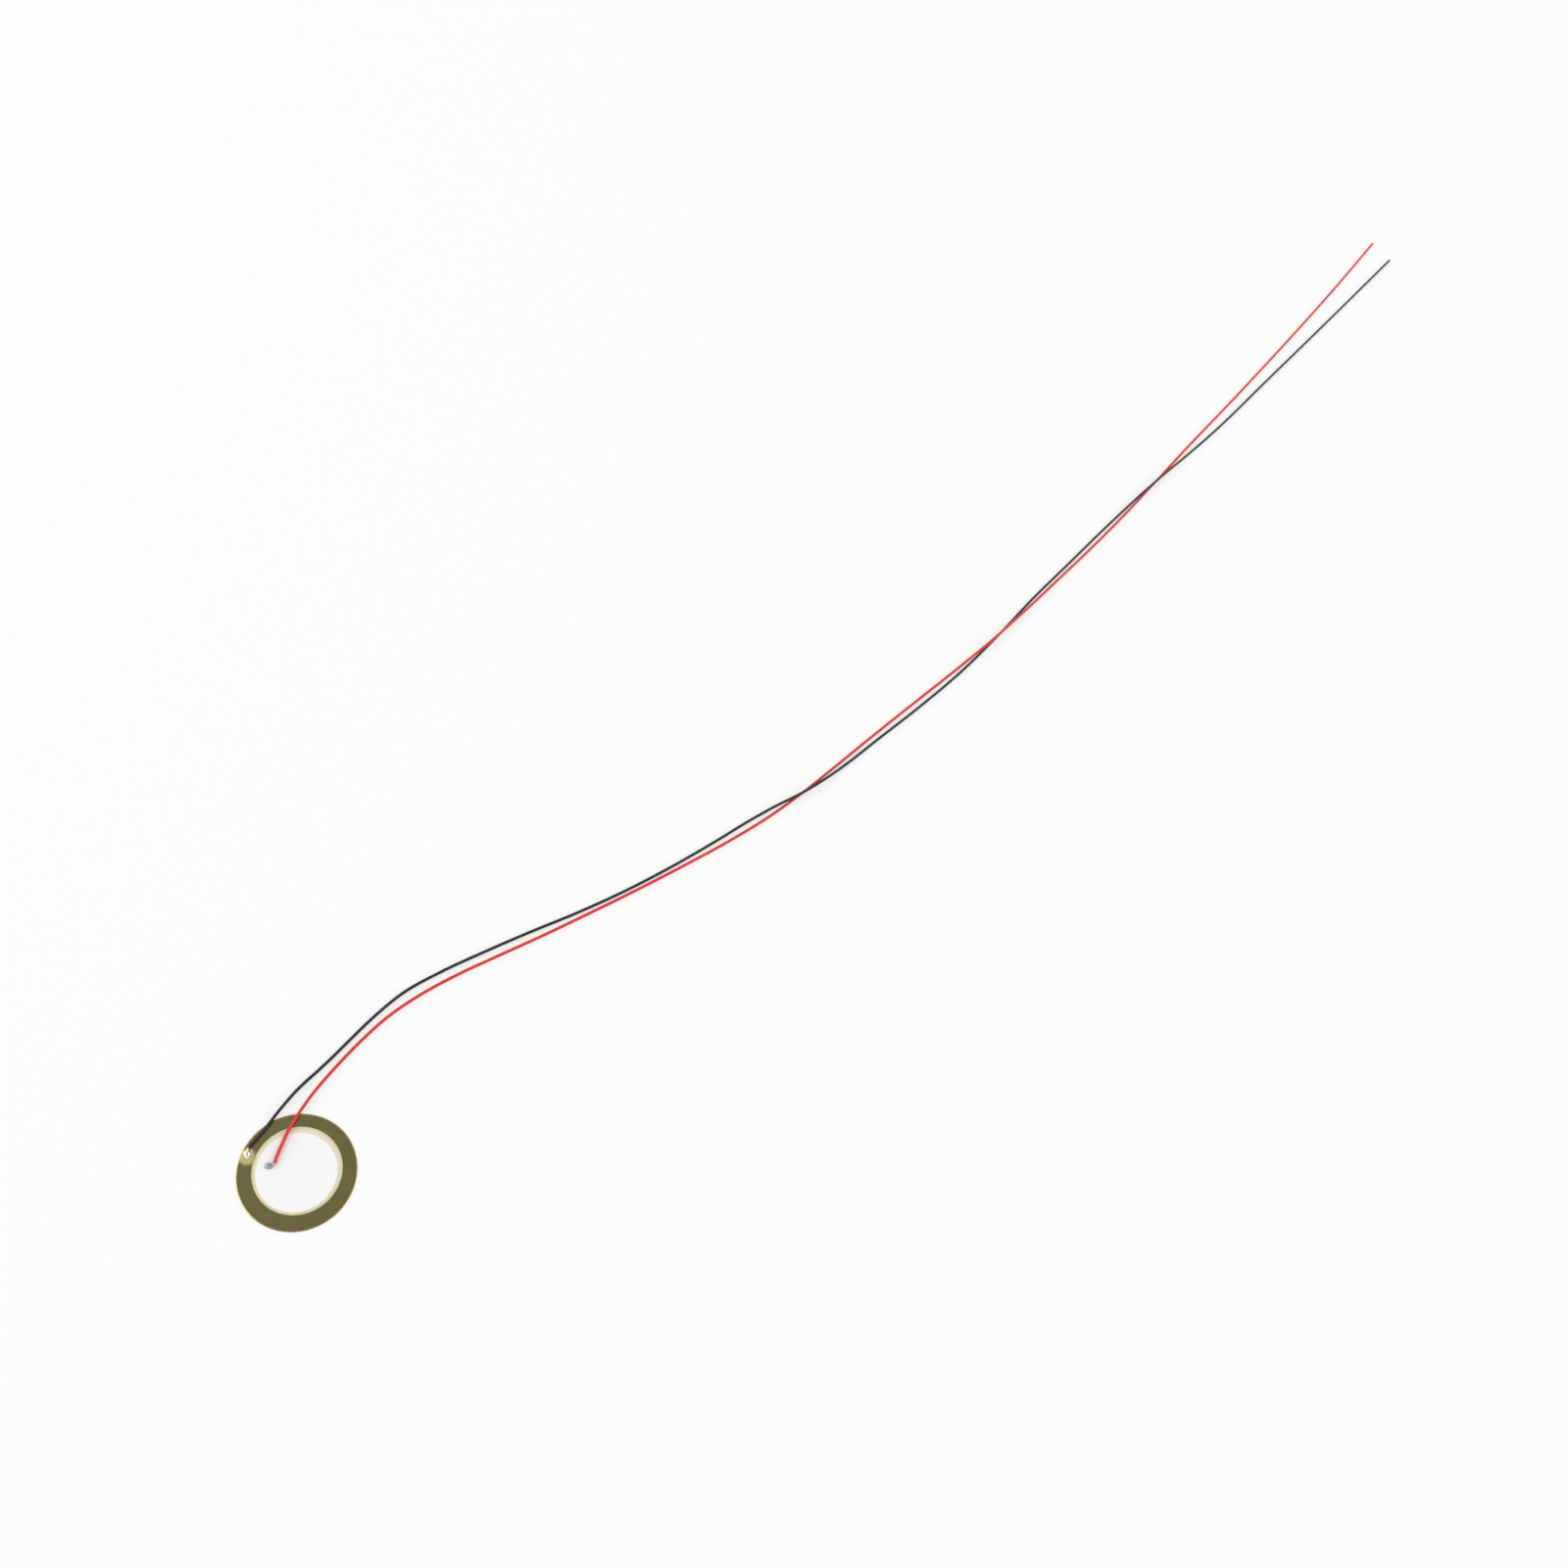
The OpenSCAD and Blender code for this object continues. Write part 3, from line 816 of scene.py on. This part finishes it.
def floor_material():
    """White as seen straight, in metal and through glass: near the object it keeps its shadows.

    The glow is mixed into the plain floor, by 0.6 up to 0.7 m away and wholly from 2 m.
    """
    m = bpy.data.materials.new("floor")
    m.use_nodes = True
    t = m.node_tree

    def add(kind, operation=None):
        n = t.nodes.new(kind)
        if operation:
            n.operation = operation
        return n

    plain = t.nodes["Principled BSDF"]
    plain.inputs["Base Color"].default_value = (0.96, 0.96, 0.96, 1)
    plain.inputs["Roughness"].default_value = 0.9
    plain.inputs["Specular IOR Level"].default_value = 0.1
    path = add("ShaderNodeLightPath")
    glow = add("ShaderNodeEmission")
    both = add("ShaderNodeMixShader")
    seen = path.outputs["Is Camera Ray"]
    for way in ("Is Glossy Ray", "Is Transmission Ray"):
        pick = add("ShaderNodeMath", "MAXIMUM")
        t.links.new(seen, pick.inputs[0])
        t.links.new(path.outputs[way], pick.inputs[1])
        seen = pick.outputs[0]
    place = add("ShaderNodeTexCoord")
    away = add("ShaderNodeVectorMath", "LENGTH")
    fade = add("ShaderNodeMapRange")
    share = add("ShaderNodeMath", "MULTIPLY")
    for key, value in (("From Min", 0.7), ("From Max", 2.0), ("To Min", 0.6), ("To Max", 1.0)):
        fade.inputs[key].default_value = value
    t.links.new(place.outputs["Object"], away.inputs[0])
    t.links.new(away.outputs["Value"], fade.inputs["Value"])
    t.links.new(seen, share.inputs[0])
    t.links.new(fade.outputs["Result"], share.inputs[1])
    t.links.new(share.outputs[0], both.inputs[0])
    t.links.new(plain.outputs[0], both.inputs[1])
    t.links.new(glow.outputs[0], both.inputs[2])
    t.links.new(both.outputs[0], t.nodes["Material Output"].inputs["Surface"])
    return m


def make_floor():
    h, z = FLOOR_HALF, FLOOR_Z
    corners = [(-h, -h, z), (h, -h, z), (h, h, z), (-h, h, z)]
    floor = new_object("floor", corners, [(0, 1, 2, 3)], smooth=False)
    floor.data.materials.append(floor_material())


def make_world():
    """A white studio whose ceiling is darker, as the photographed brass mirrors it."""
    w = bpy.data.worlds.new("studio")
    bpy.context.scene.world = w
    w.use_nodes = True
    t = w.node_tree
    place = t.nodes.new("ShaderNodeTexCoord")
    parts = t.nodes.new("ShaderNodeSeparateXYZ")
    ramp = t.nodes.new("ShaderNodeValToRGB")
    t.links.new(place.outputs["Generated"], parts.inputs[0])
    t.links.new(parts.outputs["Z"], ramp.inputs["Fac"])
    # from level at 0 to straight up at 1, and the grey there
    greys = [(0.0, 1.0), (0.45, 0.95), (0.7, 0.78), (0.88, 0.45), (1.0, 0.40)]
    set_stops(ramp.color_ramp, [(pos, (grey, grey, grey)) for pos, grey in greys])
    t.links.new(ramp.outputs["Color"], t.nodes["Background"].inputs["Color"])
    t.nodes["Background"].inputs["Strength"].default_value = 1.0


def make_lamp(name, at, target, size, watts):
    data = bpy.data.lights.new(name, "AREA")
    data.shape = "DISK"
    data.size = size
    data.energy = watts
    ob = bpy.data.objects.new(name, data)
    bpy.context.scene.collection.objects.link(ob)
    ob.location = at
    ob.rotation_mode = "QUATERNION"
    ob.rotation_quaternion = (Vector(target) - Vector(at)).to_track_quat("-Z", "Y")


make_floor()
make_world()
make_lamp("key", at=(-0.9, 1.3, 1.3), target=(0.2, 0, 0), size=2.6, watts=15)
make_lamp("fill", at=(1.5, -1.1, 1.4), target=(0.2, 0, 0), size=2.6, watts=12)
bpy.context.scene.view_settings.view_transform = "Standard"
